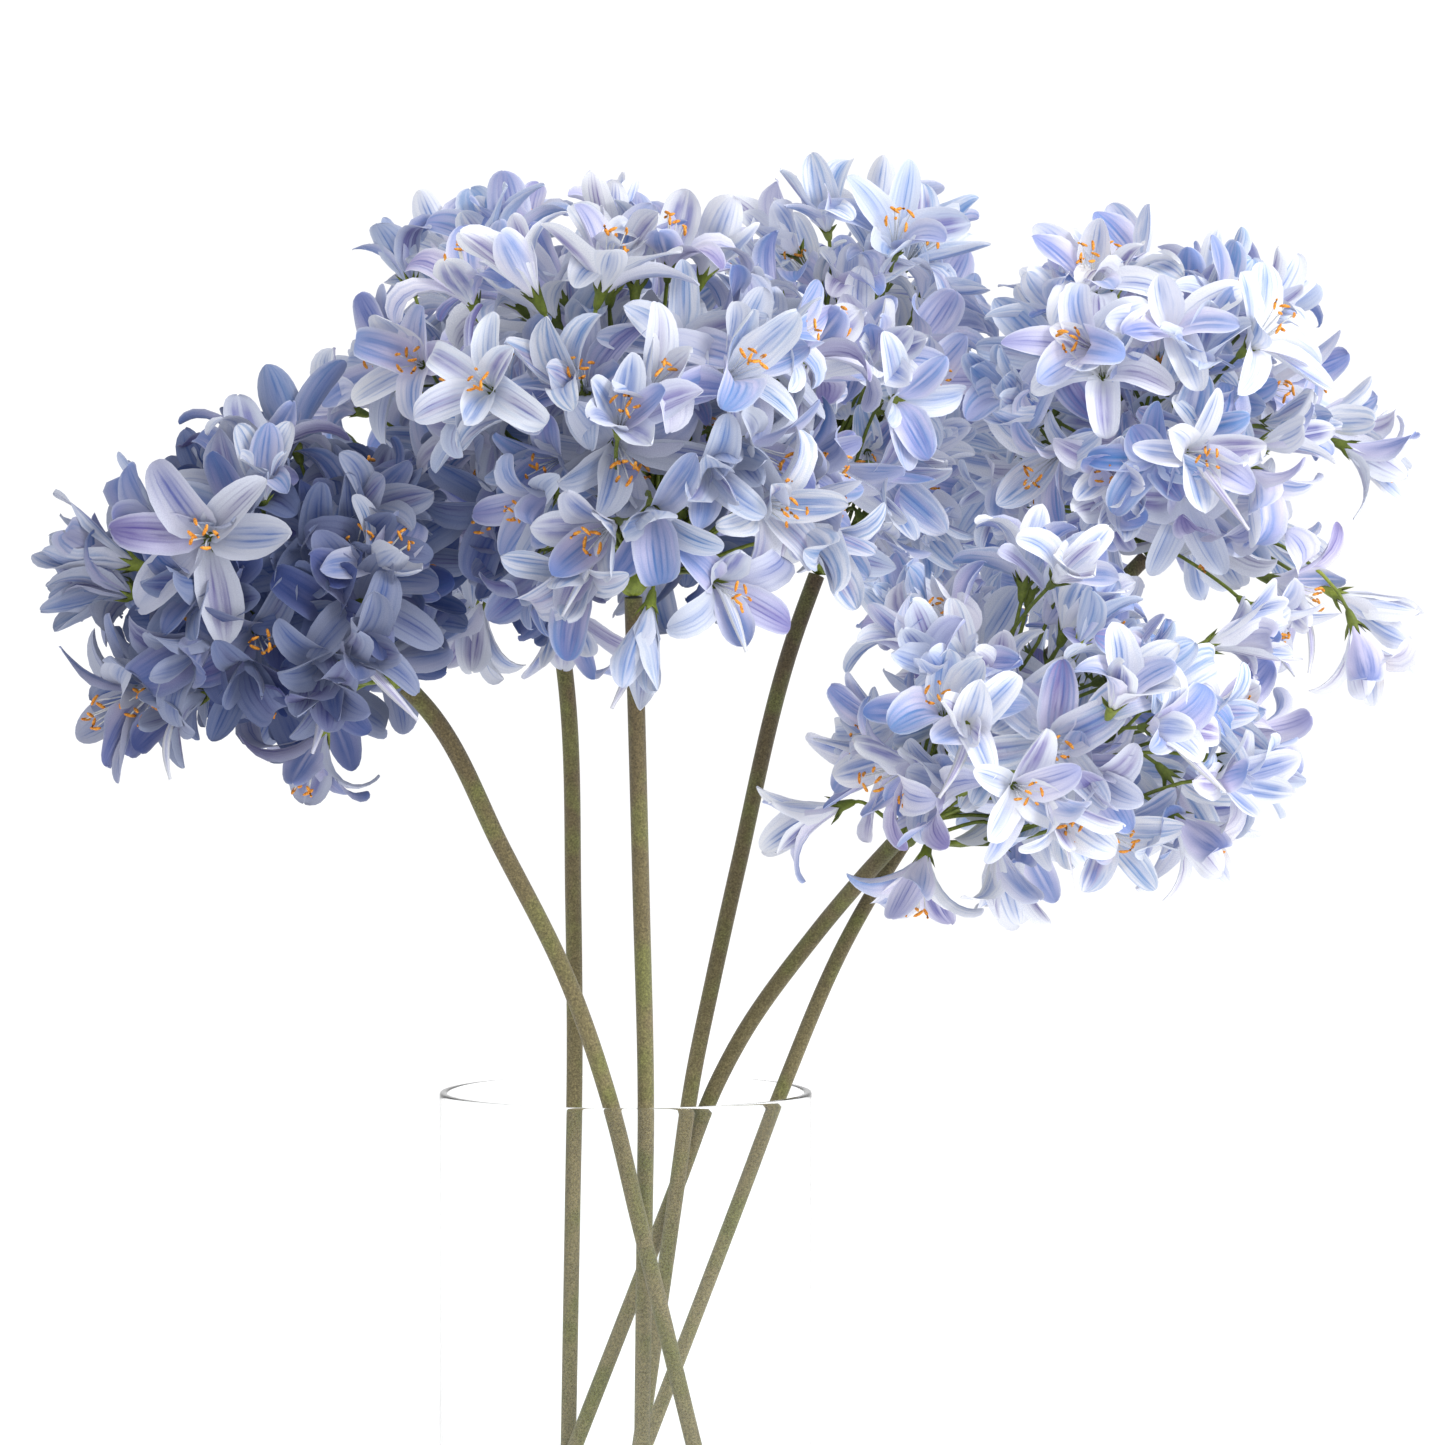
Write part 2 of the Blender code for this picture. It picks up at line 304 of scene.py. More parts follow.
def grown(source, tree, values):
    """The plain mesh that the tree makes from the source object, which is then removed."""
    modifier = source.modifiers.new("grow", "NODES")
    modifier.node_group = tree
    inputs = [item for item in tree.interface.items_tree if item.in_out == "INPUT"]
    sockets = {item.name: item.identifier for item in inputs}
    for label, value in values.items():
        modifier[sockets[label]] = value
    depsgraph = bpy.context.evaluated_depsgraph_get()
    mesh = bpy.data.meshes.new_from_object(source.evaluated_get(depsgraph), depsgraph=depsgraph)
    bpy.data.objects.remove(source, do_unlink=True)
    return mesh


def path_object(name, paths):
    """Smooth paths as one curve object. Each is a list of (place, radius)."""
    curve = bpy.data.curves.new(name, "CURVE")
    curve.dimensions = "3D"
    for path in paths:
        spline = curve.splines.new("POLY")
        spline.points.add(len(path) - 1)
        for point, (place, radius) in zip(spline.points, path):
            point.co = (*place, 1)
            point.radius = radius
    made = bpy.data.objects.new(name, curve)
    bpy.context.scene.collection.objects.link(made)
    return made


# A tube along each path: its width follows the path's own radius.
tube_tree, tube_in, tube_out = new_tree(
    "coated tube", {"Sides": "Int", "Width": "Float", "Finish": "Material"}
)
tube_outline = add_node(tube_tree, "GeometryNodeCurvePrimitiveCircle", Resolution=tube_in.outputs["Sides"])
tube_tree.links.new(tube_in.outputs["Width"], tube_outline.inputs["Radius"])
own_radius = add_node(tube_tree, "GeometryNodeInputRadius")
tube_skin = add_node(
    tube_tree, "GeometryNodeCurveToMesh", Curve=tube_in.outputs["Geometry"],
    Profile_Curve=tube_outline.outputs["Curve"], Fill_Caps=True,
)
tube_tree.links.new(own_radius.outputs["Radius"], tube_skin.inputs["Scale"])
end_tree(tube_tree, tube_skin.outputs["Mesh"], tube_in, tube_out)

# Flock grain: short fibres in patches, as a mask for the colour and a height for the bump.
grain, grain_in, grain_out = new_group(
    "flock grain", "ShaderNodeTree", {"Place": "Vector", "Fibre size": "Float"},
    {"Speckle": "Float", "Patches": "Float"},
)
grain_place = grain_in.outputs["Place"]
fibres_per_metre = add_node(
    grain, "ShaderNodeMath", {"operation": "DIVIDE"}, i0=1.0, i1=grain_in.outputs["Fibre size"]
).outputs["Value"]
speckle = add_node(
    grain, "ShaderNodeTexNoise", Vector=grain_place, Scale=fibres_per_metre, Detail=3.0, Roughness=0.75
)
patches = add_node(grain, "ShaderNodeTexNoise", Vector=grain_place, Scale=PATCHES_PER_METRE, Detail=2.0)
grain.links.new(speckle.outputs["Fac"], grain_out.inputs["Speckle"])
grain.links.new(patches.outputs["Fac"], grain_out.inputs["Patches"])


def ramp(tree, value, stops):
    """A colour ramp from (position, colour) stops."""
    node = add_node(tree, "ShaderNodeValToRGB", Fac=value)
    band = node.color_ramp
    while len(band.elements) < len(stops):
        band.elements.new(0.5)
    for element, (position, colour) in zip(band.elements, stops):
        element.position = position
        element.color = (*colour, 1.0)
    return node.outputs["Color"]


def mix(tree, blend, share, first, second):
    """Two colours mixed by a share, with the given blend type."""
    node = add_node(tree, "ShaderNodeMix", {"data_type": "RGBA", "blend_type": blend}, Factor=share)
    for socket, value in ((node.inputs[6], first), (node.inputs[7], second)):
        if isinstance(value, bpy.types.NodeSocket):
            tree.links.new(value, socket)
        else:
            socket.default_value = (*value, 1.0)
    return node.outputs[2]


def maths(tree, operation, first, second=0.0, clamp=False):
    """One sum on two values, clamped to 0 to 1 if asked."""
    settings = {"operation": operation, "use_clamp": clamp}
    return add_node(tree, "ShaderNodeMath", settings, i0=first, i1=second).outputs["Value"]


def grained(tree, fibre_size):
    """The place on the piece and the flock grain read there."""
    place = add_node(tree, "ShaderNodeTexCoord").outputs["Object"]
    return place, add_node(tree, "ShaderNodeGroup", {"node_tree": grain}, Place=place, Fibre_size=fibre_size)


def roughen(tree, shader, height, strength, distance):
    """A bump of the given height on the shader."""
    bump = add_node(tree, "ShaderNodeBump", Strength=strength, Distance=distance, Height=height)
    tree.links.new(bump.outputs["Normal"], shader.inputs["Normal"])


def grey(*stops):
    """Ramp stops that are shades of grey, from (position, level) pairs."""
    return [(position, (level, level, level)) for position, level in stops]


flocking, flock_shader = new_material(
    "olive flocking", (0.15, 0.12, 0.06), 0.92, Sheen_Weight=0.25, Sheen_Roughness=0.6,
    Specular_IOR_Level=0.2,
)
tree = flocking.node_tree
place, flock = grained(tree, STEM_FIBRE)
height = add_node(tree, "ShaderNodeSeparateXYZ", Vector=place).outputs["Z"]
rise = maths(tree, "DIVIDE", height, SLEEVE_TOP, clamp=True)
sleeve = ramp(tree, rise, (
    (0.0, (0.27, 0.25, 0.14)), (0.42, (0.26, 0.22, 0.11)),
    (0.62, (0.17, 0.14, 0.065)), (1.0, (0.12, 0.085, 0.045)),
))
green_patches = ramp(tree, flock.outputs["Patches"], grey((0.48, 0), (0.64, 0.6)))
greener = mix(tree, "MIX", green_patches, sleeve, (0.17, 0.19, 0.05))
fibres = ramp(tree, flock.outputs["Speckle"], (*grey((0.32, 0.45), (0.5, 0.9)), (0.68, (1.5, 1.5, 1.45))))
tree.links.new(mix(tree, "MULTIPLY", 1.0, greener, fibres), flock_shader.inputs["Base Color"])
roughen(tree, flock_shader, flock.outputs["Speckle"], 0.7, 0.0006)

hub_centres = {}
for name, plan in STEMS.items():
    low, high = (Vector(corner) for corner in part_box(f"hub_{name}"))
    hub_centres[name] = (low + high) / 2
    hub_radius = (high.z - low.z) / 2
    route = stem_route(plan)
    along = (route[-1] - route[-2]).normalized()
    top = route[-1] - along * (hub_radius + FIT_GAP)
    route = [p for p in route[:-1] if (top - p).dot(along) > STEM_STEP / 4] + [top]
    widths = [STEM_FOOT_DIAMETER + (STEM_NECK_DIAMETER - STEM_FOOT_DIAMETER) * i / (len(route) - 1)
              for i in range(len(route))]
    path = [(p, plan["thickness"] * width / STEM_NECK_DIAMETER) for p, width in zip(route, widths)]
    sleeve_mesh = grown(path_object(name, [path]), tube_tree,
                        {"Sides": STEM_SIDES, "Width": STEM_NECK_DIAMETER / 2, "Finish": flocking})
    sleeve_mesh.set_sharp_from_angle(angle=math.radians(40))
    sleeve = add_piece(f"stem_sleeve_{name}", sleeve_mesh, flocking)
    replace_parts(sleeve, f"stem_{name}")


# ---- Hubs -------------------------------------------------------------------------------------
# A moulded green knob crowns each stem. Its top is dimpled with the sockets that the pedicels plug
# into, and its underside is pushed over the end of the stem.

HUB_RINGS = 14
HUB_SIDES = 24
HUB_SHRINK = 0.93  # keeps the dimpled knob inside its plain size
SOCKET_DEPTH = 0.07

moulding, moulding_shader = new_material(
    "moulded green plastic", (0.16, 0.2, 0.03), 0.5, Specular_IOR_Level=0.4
)
tree = moulding.node_tree
_, flock = grained(tree, 0.0025)
green = ramp(tree, flock.outputs["Patches"], ((0.3, (0.085, 0.11, 0.018)), (0.5, (0.16, 0.21, 0.025)),
                                              (0.72, (0.27, 0.32, 0.05))))
spots = ramp(tree, flock.outputs["Speckle"], ((0.3, (0.7, 0.7, 0.7)), (0.7, (1.25, 1.25, 1.1))))
tree.links.new(mix(tree, "MULTIPLY", 1.0, green, spots), moulding_shader.inputs["Base Color"])
roughen(tree, moulding_shader, flock.outputs["Speckle"], 0.3, 0.0004)

levels = [math.pi * i / HUB_RINGS for i in range(1, HUB_RINGS)]
ball = [(hub_radius * math.sin(level), -hub_radius * math.cos(level)) for level in levels]
for name, centre in hub_centres.items():
    knob = turned([(0, -hub_radius), *ball, (0, hub_radius)], HUB_SIDES)
    for vertex in knob.vertices:
        turn = math.atan2(vertex.co.y, vertex.co.x)
        lean = math.acos(max(-1.0, min(1.0, vertex.co.z / hub_radius)))
        vertex.co *= HUB_SHRINK - SOCKET_DEPTH * math.cos(6 * turn) * math.sin(3 * lean)
    knob.transform(Matrix.Translation(centre))
    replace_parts(add_piece(f"hub_knob_{name}", knob, moulding), f"hub_{name}")


# ---- Where the florets sit --------------------------------------------------------------------
# Each head is pushed together by hand: pedicels of unequal length spread round the hub, and the
# florets turn outwards, sag a little under their weight, and keep off the next head.

FLORETS_PER_HEAD = 126
FLORET_LENGTH = 0.050
FLORET_ROOM = math.radians(11)
CROWDING = 2.0  # evens out the florets over a head that reaches further ahead than at its edge
LEAST_REACH = 0.064
FULLNESS = 0.8
HEAD_OVERLAP = 0.016
HEART_AHEAD = 0.45  # the middle of a head, as a share of its reach ahead of the hub
DEPTHS = (0.0, 0.28, 0.09, 0.44, 0.18)  # how far inside the head each floret in turn sits
PEDICEL_SHARE = 0.35  # how much a floret follows its pedicel, the rest being straight outwards
SAG = 0.12
# Painted shade: the cloth is painted darker near a point in the gap between the two left heads, and below a
# height.
PAINTED_SHADOW_CENTRE = Vector((-0.108, -0.055, 0.592))  # centre of a painted shadow, darkest in the gap between the two left heads
PAINTED_SHADOW_REACH = 0.13
PAINTED_SHADE_TOP = 0.70  # painted shade: the cloth is painted darker below this height
GOLDEN_ANGLE = math.pi * (3 - math.sqrt(5))

# For each head: the way it faces, its reach ahead and at its edge, how wide it spreads in degrees,
# how far it hangs below its hub, how dark its cloth is (its own darker dye, and painted shade on the
# heads away from the key light), how much darker it gets from painted shade inside and low down, and
# any florets that hang loose, each with its place, its facing and which of the corollas it is.
HEADS = {
    "left": {"faces": (-0.84, -0.10, 0.51), "reach": (0.188, 0.088), "spread": 112, "hangs": 0.030,
             "shade": 0.24, "depth": 1.9,
             "strays": (((-0.034, -0.012, -0.030), (-0.40, -0.25, -0.88), 0.55),
                        ((-0.120, -0.030, -0.010), (-0.88, -0.25, -0.38), 0.75))},
    "back_left": {"faces": (-0.08, -0.05, 0.98), "reach": (0.224, 0.094), "spread": 122, "hangs": 0.12,
                  "shade": 0.14, "depth": 1.5,
                  "strays": (((-0.035, -0.030, -0.026), (-0.30, -0.30, -0.90), 0.25),
                             ((0.010, -0.040, -0.024), (0.10, -0.30, -0.95), 0.40))},
    "centre": {"faces": (0.0, -0.10, 0.99), "reach": (0.212, 0.116), "spread": 117, "hangs": 0.068,
               "shade": 0.12, "depth": 1.2},
    "back_right": {"faces": (0.14, 0.0, 0.99), "reach": (0.244, 0.105), "spread": 113, "hangs": 0.12,
                   "shade": 0.0, "depth": 0.3},
    "low_right": {"faces": (0.81, -0.28, 0.53), "reach": (0.242, 0.078), "spread": 110, "hangs": 0.014,
                  "shade": 0.0, "depth": 0.45,
                  "strays": (((-0.036, -0.012, 0.014), (-0.93, -0.22, -0.28), 0.12),
                             ((0.010, -0.020, -0.012), (-0.25, -0.30, -0.90), 0.45),
                             ((0.048, -0.020, -0.006), (0.15, -0.30, -0.93), 0.30),
                             ((0.140, -0.050, 0.010), (0.72, -0.30, -0.63), 0.35))},
    "right": {"faces": (-0.16, -0.10, 0.98), "reach": (0.200, 0.126), "spread": 124, "hangs": 0.10,
              "shade": 0.0, "depth": 0.4,
              "strays": (((0.098, -0.020, -0.028), (0.85, -0.20, -0.40), 0.20),
                         ((0.104, -0.040, -0.045), (0.32, -0.20, -0.92), 0.35),
                         ((0.060, -0.030, -0.020), (0.80, -0.25, -0.30), 0.50),
                         ((0.045, -0.050, -0.036), (0.55, -0.40, -0.60), 0.70))},
}

for name, head in HEADS.items():
    head["hub"] = hub_centres[name]
    head["axis"] = Vector(head["faces"]).normalized()
    head["heart"] = head["hub"] + head["axis"] * head["reach"][0] * HEART_AHEAD


def spread_directions(count, widest, axis, crowding=0.0001):
    """Directions spaced by the golden angle over a cap, crowded towards its axis."""
    turn = axis.to_track_quat("Z", "Y")
    for i in range(count):
        share = (i + 0.5) / count * (1 - math.exp(-crowding * (1 - math.cos(widest))))
        rise = 1 + math.log(1 - share) / crowding
        level = math.sqrt(1 - rise * rise)
        around = i * GOLDEN_ANGLE
        yield turn @ Vector((level * math.cos(around), level * math.sin(around), rise))


def room_for(direction, head):
    """How far a floret may reach before it is well inside the next head."""
    room = math.inf
    for other in HEADS.values():
        if other is head:
            continue
        across = (other["heart"] - head["heart"]).normalized()
        middle = (other["heart"] + head["heart"]) / 2 + across * HEAD_OVERLAP
        nearest = math.cos(max(0.0, direction.angle(across) - FLORET_ROOM))
        if nearest > 0:
            room = min(room, (middle - head["hub"]).dot(across) / nearest)
    return room


def scattered(source, spread):
    """A random vector inside a box of the given half-width."""
    return Vector([source.uniform(-spread, spread) for _ in range(3)])


def shade_at(place, head, depth):
    """How dark the cloth is at a place in a head: the head's own dye and painted shade, with more painted
    shade inside the head, low down and near the painted shadow between the left heads.
    """
    # Painted shade: darker towards the painted shadow between the left heads, below the top height, and for
    # florets that sit deep inside the head.
    inside = max(0.0, 1 - (place - PAINTED_SHADOW_CENTRE).length / PAINTED_SHADOW_REACH)
    low = max(0.0, PAINTED_SHADE_TOP - place.z) * max(0.0, head["depth"] - 0.5) * 2.5
    return min(1.0, head["shade"] + depth * head["depth"] * 0.8 + inside * 1.2 + low)


DROOP = Vector((0, 0, -1))
for number, (name, head) in enumerate(HEADS.items()):
    chance = random.Random(40 + number)
    head["florets"] = []
    ahead, edge = head["reach"]
    widest = math.radians(head["spread"])
    for i, direction in enumerate(spread_directions(FLORETS_PER_HEAD, widest, head["axis"], CROWDING)):
        share = direction.angle(head["axis"]) / widest
        full = edge + (ahead - edge) * ((1 + math.cos(math.pi * min(1.0, share))) / 2) ** FULLNESS
        depth = DEPTHS[i % len(DEPTHS)]
        layer = 1.0 - depth + chance.uniform(-0.03, 0.03)
        way = (direction + scattered(chance, 0.10)).normalized()
        reach = min(full * layer, room_for(way, head))
        if way.z < 0:
            reach = min(reach, head["hangs"] / -way.z)
        if reach < LEAST_REACH:
            continue
        tip = head["hub"] + way * reach
        outwards = (tip - head["heart"]).normalized()
        facing = way * PEDICEL_SHARE + outwards * (1 - PEDICEL_SHARE) + scattered(chance, 0.30)
        facing = (facing + DROOP * SAG * share).normalized()
        base = tip - facing * FLORET_LENGTH
        uneven = chance.uniform(-0.24, 0.18) * head["depth"] / 2
        shade = max(0.0, min(1.0, shade_at(base, head, depth) + uneven))
        tone = (chance.random(), chance.random(), shade, chance.random())
        head["florets"].append({
            "base": base, "facing": facing, "turn": chance.uniform(0, 2 * math.pi),
            "size": chance.uniform(0.86, 1.06), "tone": tone, "kind": chance.random(),
        })
    for offset, facing, kind in head.get("strays", ()):
        base = head["hub"] + Vector(offset)
        # Loose florets get the same dye and painted shade, a little lighter.
        tone = (0.3, 0.2, shade_at(base, head, 0.0) * 0.7, 0.5)
        head["florets"].append({
            "base": base, "facing": Vector(facing).normalized(), "turn": 0.4, "size": 1.0, "tone": tone,
            "kind": kind,
        })


# ---- Pedicels ---------------------------------------------------------------------------------
# A thin coated wire for each floret. The wires leave the hub in small bundles, part, and bend out
# to their cups.

PEDICEL_DIAMETER = 0.0023
PEDICEL_SIDES = 8
PEDICEL_STEPS = 9
BUNDLES = 7
BUNDLE_SPREAD = math.radians(98)
CUP_DEPTH = 0.0085  # from the wire's end up to the base of the tepals

for number, (name, head) in enumerate(HEADS.items()):
    chance = random.Random(70 + number)
    bundles = list(spread_directions(BUNDLES, BUNDLE_SPREAD, head["axis"]))
    paths = []
    for floret in head["florets"]:
        end = floret["base"] - floret["facing"] * CUP_DEPTH
        way = (end - head["hub"]).normalized()
        bundle = max(bundles, key=lambda b: b.dot(way))
        start = head["hub"] + (bundle * 0.7 + way * 0.3).normalized() * hub_radius * 0.8
        span = (end - start).length
        leave = start + bundle * span * 0.35 + scattered(chance, 0.006)
        arrive = end - floret["facing"] * span * 0.30
        path = []
        for k in range(PEDICEL_STEPS + 1):
            t = k / PEDICEL_STEPS
            place = (start * (1 - t) ** 3 + leave * 3 * t * (1 - t) ** 2 + arrive * 3 * t * t * (1 - t)
                     + end * t**3)
            path.append((place, 1.35 - 0.45 * min(1.0, t * 2.2)))
        paths.append(path)
    wires = grown(path_object(name, paths), tube_tree,
                  {"Sides": PEDICEL_SIDES, "Width": PEDICEL_DIAMETER / 2, "Finish": moulding})
    add_piece(f"pedicels_{name}", wires, moulding)


# ---- Calyx cups -------------------------------------------------------------------------------
# A small cup of moulded green plastic, pushed over the end of each wire. Its six thin pointed lobes
# grip the base of the tepals.

CUP_LOBES = 6


def collection_of(name, meshes):
    """Meshes as the numbered members of a collection, for picking from."""
    made = bpy.data.collections.new(name)
    for i, mesh in enumerate(meshes):
        made.objects.link(bpy.data.objects.new(f"{name} {i:02d}", mesh))
    return made


def cup_mesh(seed):
    """A closed cup with long pointed lobes, its rim at the base of the tepals."""
    chance = random.Random(seed)
    shape = bmesh.new()
    around = 2 * CUP_LOBES
    reach = [chance.uniform(0.8, 1.25) if i % 2 == 0 else 1.0 for i in range(around)]
    flare = [chance.uniform(0.9, 1.5) if i % 2 == 0 else 1.0 for i in range(around)]

    def cup_ring(radius, height, lobe_radius=None, lobe_height=None):
        """A ring of the cup, with every second point on a lobe if the lobes are given."""
        made = []
        for i in range(around):
            lobed = lobe_radius is not None and i % 2 == 0
            r = lobe_radius * flare[i] if lobed else radius
            z = lobe_height * reach[i] if lobed else height
            angle = math.pi * i / CUP_LOBES
            made.append(shape.verts.new((r * math.cos(angle), r * math.sin(angle), z)))
        return made

    rings = [
        cup_ring(0.0010, -0.0095),
        cup_ring(0.0020, -0.0078),
        cup_ring(0.0026, -0.0050),
        cup_ring(0.0031, -0.0015),
        cup_ring(0.0034, 0.0006, 0.0042, 0.0020),
        cup_ring(0.0030, 0.0010, 0.0058, 0.0068),
        cup_ring(0.0027, 0.0004, 0.0036, 0.0018),
    ]
    for lower, upper in zip(rings, rings[1:]):
        for i in range(around):
            j = (i + 1) % around
            shape.faces.new((lower[i], lower[j], upper[j], upper[i]))
    for ring, height in ((rings[0], -0.0100), (rings[-1], 0.0)):
        middle = shape.verts.new((0, 0, height))
        for i in range(around):
            shape.faces.new((ring[i], ring[(i + 1) % around], middle))
    bmesh.ops.recalc_face_normals(shape, faces=shape.faces[:])
    mesh = mesh_of(shape, "cup")
    mesh.shade_smooth()
    return mesh


# One tree puts a member of a collection on each point: the point says which, how turned, how big.
plant_tree, plant_in, plant_out = new_tree(
    "plant on points", {"Parts": "Collection", "Size": "Float", "Finish": "Material"}
)
parts = add_node(plant_tree, "GeometryNodeCollectionInfo", Collection=plant_in.outputs["Parts"],
                 Separate_Children=True, Reset_Children=True)
point_attributes = [
    add_node(plant_tree, "GeometryNodeInputNamedAttribute", {"data_type": kind}, Name=label)
    for label, kind in (("kind", "INT"), ("turn", "FLOAT_VECTOR"), ("size", "FLOAT"))
]
which, turned_by, sized_by = (node.outputs["Attribute"] for node in point_attributes)
rotation = add_node(plant_tree, "FunctionNodeEulerToRotation", Euler=turned_by)
scale = maths(plant_tree, "MULTIPLY", sized_by, plant_in.outputs["Size"])
planted = add_node(
    plant_tree, "GeometryNodeInstanceOnPoints", Points=plant_in.outputs["Geometry"],
    Instance=parts.outputs["Instances"], Pick_Instance=True, Instance_Index=which,
    Rotation=rotation.outputs["Rotation"], Scale=scale,
)
end_tree(plant_tree, planted.outputs["Instances"], plant_in, plant_out)


def point_object(florets, kind_of):
    """A vertex at each floret's base, with the attributes that the planting tree reads."""
    mesh = bpy.data.meshes.new("points")
    mesh.from_pydata([floret["base"] for floret in florets], [], [])
    kinds = {"kind": "INT", "turn": "FLOAT_VECTOR", "size": "FLOAT", "tone": "FLOAT_COLOR"}
    for attribute, kind in kinds.items():
        mesh.attributes.new(attribute, kind, "POINT")
    for i, floret in enumerate(florets):
        spin = Matrix.Rotation(floret["turn"], 3, "Z")
        facing = floret["facing"].to_track_quat("Z", "Y").to_matrix() @ spin
        mesh.attributes["kind"].data[i].value = kind_of(floret)
        mesh.attributes["turn"].data[i].vector = facing.to_euler()
        mesh.attributes["size"].data[i].value = floret["size"]
        mesh.attributes["tone"].data[i].color = floret["tone"]
    made = bpy.data.objects.new("points", mesh)
    bpy.context.scene.collection.objects.link(made)
    return made


def clear_collection(parts):
    """Remove the collection and its members, once they are planted."""
    for member in list(parts.objects):
        bpy.data.objects.remove(member, do_unlink=True)
    bpy.data.collections.remove(parts)


CUP_KINDS = 4
cups = collection_of("cup", [cup_mesh(seed) for seed in range(CUP_KINDS)])
for name, head in HEADS.items():
    points = point_object(head["florets"], lambda floret: int(floret["kind"] * 97) % CUP_KINDS)
    mesh = grown(points, plant_tree, {"Parts": cups, "Size": 1.0, "Finish": moulding})
    add_piece(f"calyx_cups_{name}", mesh, moulding)
clear_collection(cups)


# ---- Corollas ---------------------------------------------------------------------------------
# Six die-cut tepals of pale blue fabric to a floret, dyed in soft streaks and heat-pressed with
# lengthwise pleats. They are slipped through the green cup and spread by hand, no two alike.

TEPALS = 6
TEPAL_LENGTH = 0.050
TEPAL_HALF_WIDTH = 0.0104
TEPAL_THICKNESS = 0.00045
THREADS = (44.0, 110.0)  # of the weave, across and along one tepal
ACROSS = 6
ALONG = 10
COROLLA_KINDS = 16
LEAST_OPENING = 11
OPENING_RANGE = 51
CLOTH_GLOW = 0.15  # stands for light that passes through the thin cloth
DYE_AND_PAINTED_SHADE = (0.14, 0.175, 0.31)  # what the darkest cloth is multiplied by, for darker dye and painted shade together


def tepal_outline(v):
    """Half the width of a tepal at v of its length, as a share of the widest."""
    claw = 0.16 + 0.84 * math.sin(math.pi / 2 * min(1.0, v / 0.5)) ** 1.4
    tip = math.sqrt(1 - max(0.0, (v - 0.5) / 0.5) ** 2.6)
    return max(0.06, claw * tip)


def corolla_mesh(seed, opening, recurve):
    """Six closed thin tepals round Z, their base at the origin, opening by the given angles."""
    chance = random.Random(seed)
    shape = bmesh.new()
    uv_layer = shape.loops.layers.uv.new("cloth")
    tepal_layer = shape.loops.layers.float_color.new("tepal")
    for k in range(TEPALS):
        inner = k % 2
        length = TEPAL_LENGTH * chance.uniform(0.86, 1.06)
        wide = TEPAL_HALF_WIDTH * chance.uniform(0.80, 1.12) * (1.05 if inner else 0.95)
        angle = math.pi / 3 * (k + chance.uniform(-0.33, 0.33))
        lean = opening * chance.uniform(0.45, 1.45) + (0.0 if inner else 0.10)
        curl = recurve * chance.uniform(-0.8, 1.9)
        cup = chance.uniform(0.15, 1.0)
        crease = chance.uniform(0.0, 0.35)
        twist = chance.uniform(-0.75, 0.75)
        sway = chance.uniform(-0.28, 0.28)
        wave = chance.uniform(0.0, 0.0021)
        wave_turn = chance.uniform(0, 2 * math.pi)
        pleat = chance.uniform(0.00015, 0.00055)
        own = (chance.random(), chance.random(), chance.random(), chance.random())
        turn = Matrix.Rotation(angle, 3, "Z")
        # The centre line bends outwards from the cup by the lean and then by the curl.
        rows = []
        place = Vector((0.0021, 0, -0.0015))
        last = 0.0
        for j in range(ALONG + 1):
            v = math.sin(math.pi / 2 * j / ALONG)
            tilt = lean * min(1.0, 0.2 + 1.9 * v) + curl * max(0.0, v - 0.40) ** 1.5 * 2.6
            place = place + Vector((math.sin(tilt), 0, math.cos(tilt))) * length * (v - last)
            last = v
            away = Vector((math.cos(tilt), 0, -math.sin(tilt)))
            roll = twist * v * v
            across = Vector((0, math.cos(roll), 0)) + away * math.sin(roll)
            away = away * math.cos(roll) - Vector((0, math.sin(roll), 0))
            half = wide * tepal_outline(v)
            front = []
            back = []
            for i in range(ACROSS + 1):
                u = 2 * i / ACROSS - 1
                ridges = pleat * math.cos(3 * math.pi * u) * math.sin(math.pi * min(1.0, v * 1.05))
                dish = -half * (cup * u * u + crease * abs(u)) * (1 - 0.6 * v)
                phase = wave_turn + (1.3 if u > 0 else 0)
                ripple = wave * math.sin(9.5 * v + phase) * abs(u) ** 3 * min(1.0, 2 * v)
                point = place + across * (half * u) + away * (ridges + dish + ripple)
                point.y += sway * length * v * v * 0.5
                on_edge = i in (0, ACROSS) or j in (0, ALONG)
                thick = away * (0.0 if on_edge else TEPAL_THICKNESS / 2)
                corner = shape.verts.new(turn @ (point - thick))
                front.append(corner)
                back.append(corner if on_edge else shape.verts.new(turn @ (point + thick)))
            rows.append((v, front, back))
        for (v0, *low), (v1, *high) in zip(rows, rows[1:]):
            for side in range(2):
                for i in range(ACROSS):
                    quad = [(low[side][i], i, v0), (low[side][i + 1], i + 1, v0),
                            (high[side][i + 1], i + 1, v1), (high[side][i], i, v1)]
                    if side:
                        quad.reverse()
                    face = shape.faces.new([entry[0] for entry in quad])
                    for loop, (_, i_at, v_at) in zip(face.loops, quad):
                        loop[uv_layer].uv = (i_at / ACROSS, v_at)
                        loop[tepal_layer] = own
    shape.normal_update()
    mesh = mesh_of(shape, "corolla")
    mesh.shade_smooth()
    mesh.set_sharp_from_angle(angle=math.radians(75))
    return mesh


